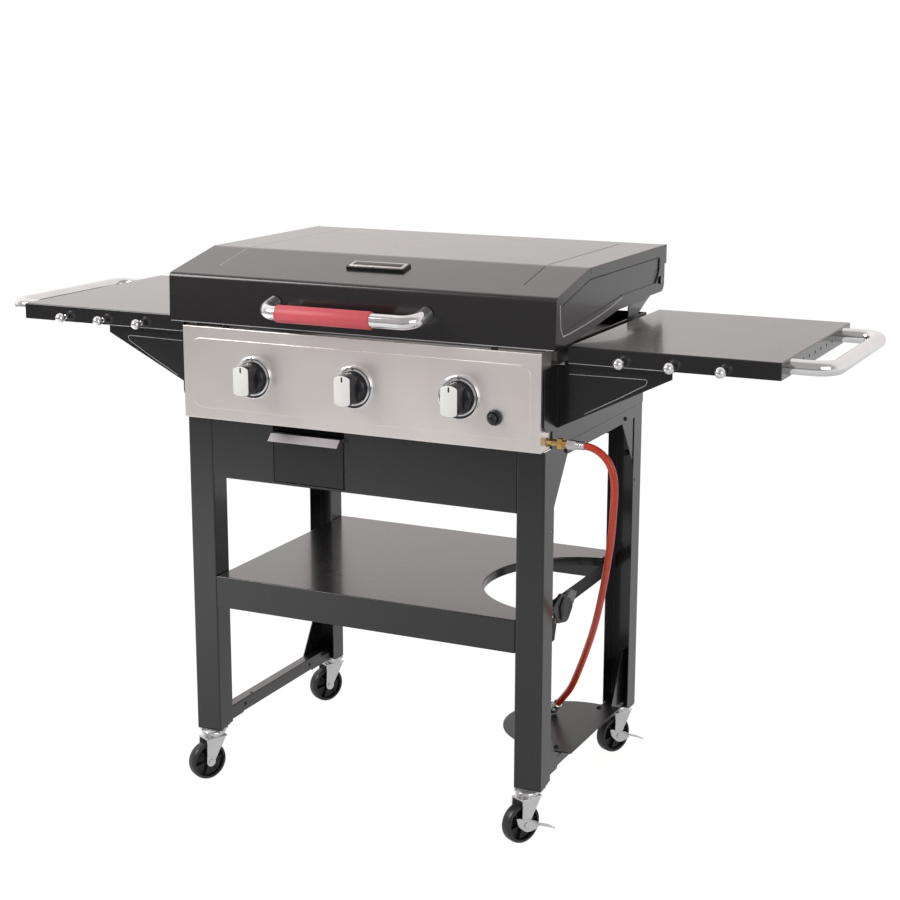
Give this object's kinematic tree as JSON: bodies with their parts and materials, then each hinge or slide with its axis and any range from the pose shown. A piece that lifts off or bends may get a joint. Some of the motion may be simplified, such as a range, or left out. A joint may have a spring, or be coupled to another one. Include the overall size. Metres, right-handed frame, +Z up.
{
  "type": "outdoor gas griddle station",
  "caption": "Wheeled outdoor gas griddle with a hinged lid, control knobs, side shelves with hooks and handles, a grease cup, a lower shelf and a seat for a gas bottle.",
  "frame": {"origin": "on the floor under the middle of the whole box, in the mid plane between the side shelves", "axes": "+X to the right as the cook sees it, along the width; +Y from the cook towards the rear; +Z up"},
  "size_m": [1.6294, 0.6043, 0.99],
  "materials": {
    "powder_black": "semi-gloss fine-textured powder coat",
    "panel_steel": "stainless, brushed lengthways",
    "chrome_tube": "bright plated",
    "zinc_steel": "bright zinc plated",
    "griddle_iron": "seasoned rolled steel, dark satin",
    "brass_fitting": "machined",
    "black_plastic": "moulded, satin",
    "knob_plastic": "moulded, with a satin silver face",
    "red_rubber": "matt silicone and hose cover",
    "black_rubber": "matt",
    "webbing": "woven tape",
    "ceramic": "glazed insulator"
  },
  "bodies": {
    "cart": {"bottom_rails": "powder_black", "burners": "zinc_steel", "caster_plates": "zinc_steel", "control_panel": "panel_steel", "corner_gussets": "powder_black", "firebox": "powder_black", "frame_bolts": "zinc_steel", "front_apron": "powder_black", "gas_hose": "red_rubber", "gas_inlet": "brass_fitting", "gas_manifold": "zinc_steel", "gas_valves": "brass_fitting", "grease_guide": "powder_black", "griddle_plate": "griddle_iron", "hinge_brackets": "powder_black", "hose_coupling": "zinc_steel", "hose_nut": "zinc_steel", "igniter_body": "black_plastic", "igniter_electrodes": "ceramic", "knob_bezels": "chrome_tube", "leg_front_left": "powder_black", "leg_front_right": "powder_black", "leg_rear_left": "powder_black", "leg_rear_right": "powder_black", "lid_bumpers": "black_rubber", "lower_shelf": "powder_black", "rear_rail": "powder_black", "shelf_braces": "powder_black", "shelf_handle_left": "chrome_tube", "shelf_handle_right": "chrome_tube", "shelf_left": "powder_black", "shelf_right": "powder_black", "side_rails": "powder_black", "strap_buckle": "black_plastic", "tank_strap": "webbing", "tank_tray": "powder_black", "tool_hooks": "chrome_tube"},
    "lid": {"lid_shell": "powder_black", "lid_sides": "powder_black", "lid_handle": "chrome_tube", "handle_grip": "red_rubber", "badge_plate": "panel_steel"},
    "igniter_button": {"igniter_button": "black_plastic"},
    "grease_cup": {"grease_cup": "panel_steel"},
    "valve_stem_1": {"valve_stem_1": "zinc_steel"},
    "knob_1": {"knob_1": "knob_plastic"},
    "valve_stem_2": {"valve_stem_2": "zinc_steel"},
    "knob_2": {"knob_2": "knob_plastic"},
    "valve_stem_3": {"valve_stem_3": "zinc_steel"},
    "knob_3": {"knob_3": "knob_plastic"},
    "caster_front_left": {"caster_fork_front_left": "zinc_steel"},
    "wheel_front_left": {"wheel_front_left": "black_plastic"},
    "caster_front_right": {"caster_fork_front_right": "zinc_steel"},
    "wheel_front_right": {"wheel_front_right": "black_plastic"},
    "brake_front_right": {"brake_lever_front_right": "zinc_steel"},
    "caster_rear_left": {"caster_fork_rear_left": "zinc_steel"},
    "wheel_rear_left": {"wheel_rear_left": "black_plastic"},
    "caster_rear_right": {"caster_fork_rear_right": "zinc_steel"},
    "wheel_rear_right": {"wheel_rear_right": "black_plastic"},
    "brake_rear_right": {"brake_lever_rear_right": "zinc_steel"}
  },
  "joints": [
    {"name": "lid_hinge", "type": "hinge", "parent": "cart", "child": "lid", "pos_m": [0, 0.27115, 0.9265], "axis": [-1, 0, 0], "range_deg": [0, 95]},
    {"name": "igniter_push", "type": "slide", "parent": "cart", "child": "igniter_button", "axis": [0, 1, 0], "range_m": [0, 0.004], "stiffness_N_per_m": 900, "springref_m": -0.001},
    {"name": "grease_cup_slide", "type": "slide", "parent": "cart", "child": "grease_cup", "axis": [0, -1, 0], "range_m": [0, 0.095]},
    {"name": "knob_turn_1", "type": "hinge", "parent": "cart", "child": "valve_stem_1", "pos_m": [-0.2005, -0.22285, 0.781], "axis": [0, -1, 0], "range_deg": [0, 225]},
    {"name": "knob_push_1", "type": "slide", "parent": "valve_stem_1", "child": "knob_1", "axis": [0, 1, 0], "range_m": [0, 0.003], "stiffness_N_per_m": 1200, "springref_m": -0.001},
    {"name": "knob_turn_2", "type": "hinge", "parent": "cart", "child": "valve_stem_2", "pos_m": [0, -0.22285, 0.781], "axis": [0, -1, 0], "range_deg": [0, 225]},
    {"name": "knob_push_2", "type": "slide", "parent": "valve_stem_2", "child": "knob_2", "axis": [0, 1, 0], "range_m": [0, 0.003], "stiffness_N_per_m": 1200, "springref_m": -0.001},
    {"name": "knob_turn_3", "type": "hinge", "parent": "cart", "child": "valve_stem_3", "pos_m": [0.2005, -0.22285, 0.781], "axis": [0, -1, 0], "range_deg": [0, 225]},
    {"name": "knob_push_3", "type": "slide", "parent": "valve_stem_3", "child": "knob_3", "axis": [0, 1, 0], "range_m": [0, 0.003], "stiffness_N_per_m": 1200, "springref_m": -0.001},
    {"name": "swivel_front_left", "type": "hinge", "parent": "cart", "child": "caster_front_left", "pos_m": [-0.3217, -0.21535, 0.082], "axis": [0, 0, 1], "continuous": true},
    {"name": "roll_front_left", "type": "hinge", "parent": "caster_front_left", "child": "wheel_front_left", "pos_m": [-0.32862, -0.22922, 0.036], "axis": [-0.8949, 0.4462, 0], "continuous": true},
    {"name": "swivel_front_right", "type": "hinge", "parent": "cart", "child": "caster_front_right", "pos_m": [0.3217, -0.21535, 0.082], "axis": [0, 0, 1], "continuous": true},
    {"name": "roll_front_right", "type": "hinge", "parent": "caster_front_right", "child": "wheel_front_right", "pos_m": [0.31478, -0.22922, 0.036], "axis": [-0.8949, 0.4462, 0], "continuous": true},
    {"name": "brake_front_right", "type": "hinge", "parent": "caster_front_right", "child": "brake_front_right", "pos_m": [0.31478, -0.22922, 0.036], "axis": [-0.8949, 0.4462, 0], "range_deg": [0, 20]},
    {"name": "swivel_rear_left", "type": "hinge", "parent": "cart", "child": "caster_rear_left", "pos_m": [-0.3217, 0.24165, 0.082], "axis": [0, 0, 1], "continuous": true},
    {"name": "roll_rear_left", "type": "hinge", "parent": "caster_rear_left", "child": "wheel_rear_left", "pos_m": [-0.32862, 0.22778, 0.036], "axis": [-0.8949, 0.4462, 0], "continuous": true},
    {"name": "swivel_rear_right", "type": "hinge", "parent": "cart", "child": "caster_rear_right", "pos_m": [0.3217, 0.24165, 0.082], "axis": [0, 0, 1], "continuous": true},
    {"name": "roll_rear_right", "type": "hinge", "parent": "caster_rear_right", "child": "wheel_rear_right", "pos_m": [0.31478, 0.22778, 0.036], "axis": [-0.8949, 0.4462, 0], "continuous": true},
    {"name": "brake_rear_right", "type": "hinge", "parent": "caster_rear_right", "child": "brake_rear_right", "pos_m": [0.31478, 0.22778, 0.036], "axis": [-0.8949, 0.4462, 0], "range_deg": [0, 20]}
  ]
}
